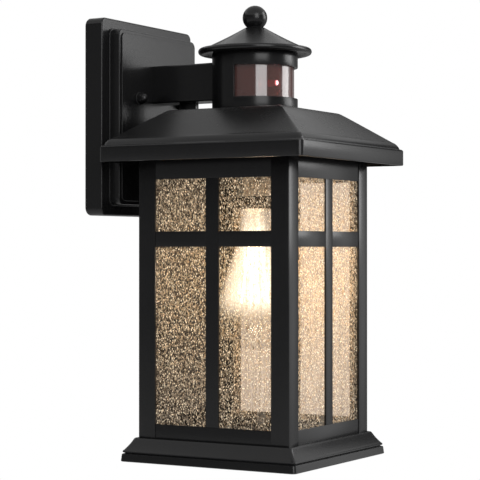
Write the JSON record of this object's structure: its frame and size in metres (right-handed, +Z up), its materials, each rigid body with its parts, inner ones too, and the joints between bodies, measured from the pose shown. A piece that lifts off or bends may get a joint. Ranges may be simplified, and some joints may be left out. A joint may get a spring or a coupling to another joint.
{
  "type": "outdoor wall lantern",
  "caption": "Wall lantern: hipped roof, seeded glass cage with glazing bars, screw-in bulb, and a round motion sensor turret on a box arm from a stepped wall plate.",
  "frame": {"origin": "centre of the wall bracket's slot pattern, on the wall plane", "axes": "+Z up, +Y into the wall, so the lantern stands out towards -Y; +X to the right of someone facing the wall"},
  "size_m": [0.184, 0.2126, 0.3686],
  "materials": {
    "powder_black": "satin black powder coat",
    "zinc_steel": "bright zinc plate",
    "ground_green": "green plated screw",
    "foam": "closed-cell foam",
    "washer_rubber": "soft rubber",
    "seeded_glass": "clear seeded glass",
    "smoked_lens": "smoked red translucent plastic",
    "circuit_board": "green solder mask",
    "sensor_can": "plated can with a dark filter window",
    "status_red": "clear red, lit",
    "relay_case": "moulded case",
    "capacitor_sleeve": "shrink sleeve",
    "holder_metal": "drawn, bright",
    "holder_collar": "moulded phenolic",
    "contact_brass": "plain",
    "bulb_cap_metal": "nickel plated, threaded",
    "bulb_glass": "clear",
    "filament": "lit, warm white",
    "control_plastic": "fine texture"
  },
  "bodies": {
    "lantern": {"arm": "powder_black", "arm_lug": "powder_black", "arm_screws": "zinc_steel", "back_panel": "powder_black", "backplate": "powder_black", "base_tray": "powder_black", "bottom_rails": "powder_black", "bridge_screws": "zinc_steel", "cap_bridge": "zinc_steel", "centre_contact": "contact_brass", "control_box": "control_plastic", "corner_gussets": "powder_black", "driver_board": "circuit_board", "glass_clips": "zinc_steel", "glass_front": "seeded_glass", "glass_left": "seeded_glass", "glass_right": "seeded_glass", "glazing_bars_front": "powder_black", "glazing_bars_left": "powder_black", "glazing_bars_right": "powder_black", "ground_screw": "ground_green", "holder_plate": "zinc_steel", "mounting_studs": "zinc_steel", "nipple": "zinc_steel", "nipple_nuts": "zinc_steel", "nut_washers": "washer_rubber", "post_back_left": "powder_black", "post_back_right": "powder_black", "post_front_left": "powder_black", "post_front_right": "powder_black", "pyro_element": "sensor_can", "relay": "relay_case", "roof": "powder_black", "roof_screws": "zinc_steel", "sensor_board": "circuit_board", "sensor_lens": "smoked_lens", "socket_cap": "holder_metal", "socket_core": "holder_collar", "socket_shell": "contact_brass", "socket_skirt": "holder_collar", "status_led": "status_red", "stud_locknuts": "zinc_steel", "supply_capacitor": "capacitor_sleeve", "top_rails": "powder_black", "tray_screws": "zinc_steel", "turret_cap": "powder_black", "turret_housing": "powder_black", "wall_bracket": "zinc_steel", "wall_gasket": "foam"},
    "bulb": {"bulb_base": "bulb_cap_metal", "bulb_glass": "bulb_glass", "bulb_stem": "bulb_glass", "led_filaments": "filament"},
    "finial_ball": {"finial": "powder_black"},
    "left_nut": {"cap_nut_left": "powder_black"},
    "right_nut": {"cap_nut_right": "powder_black"},
    "time_knob": {"time_dial": "control_plastic"},
    "range_knob": {"range_dial": "control_plastic"}
  },
  "joints": [
    {"name": "bulb_unscrew", "type": "slide", "parent": "lantern", "child": "bulb", "axis": [0, 0, -1], "range_m": [0, 0.026]},
    {"name": "finial_turn", "type": "hinge", "parent": "lantern", "child": "finial_ball", "pos_m": [0, -0.1206, 0.064], "axis": [0, 0, 1], "continuous": true},
    {"name": "left_nut_turn", "type": "hinge", "parent": "lantern", "child": "left_nut", "pos_m": [-0.0315, -0.031, 0], "axis": [0, -1, 0], "continuous": true},
    {"name": "right_nut_turn", "type": "hinge", "parent": "lantern", "child": "right_nut", "pos_m": [0.0315, -0.031, 0], "axis": [0, -1, 0], "continuous": true},
    {"name": "time_turn", "type": "hinge", "parent": "lantern", "child": "time_knob", "pos_m": [-0.01, -0.0736, -0.06], "axis": [0, 0, -1], "range_deg": [-135, 135]},
    {"name": "range_turn", "type": "hinge", "parent": "lantern", "child": "range_knob", "pos_m": [0.01, -0.0736, -0.06], "axis": [0, 0, -1], "range_deg": [-135, 135]}
  ]
}
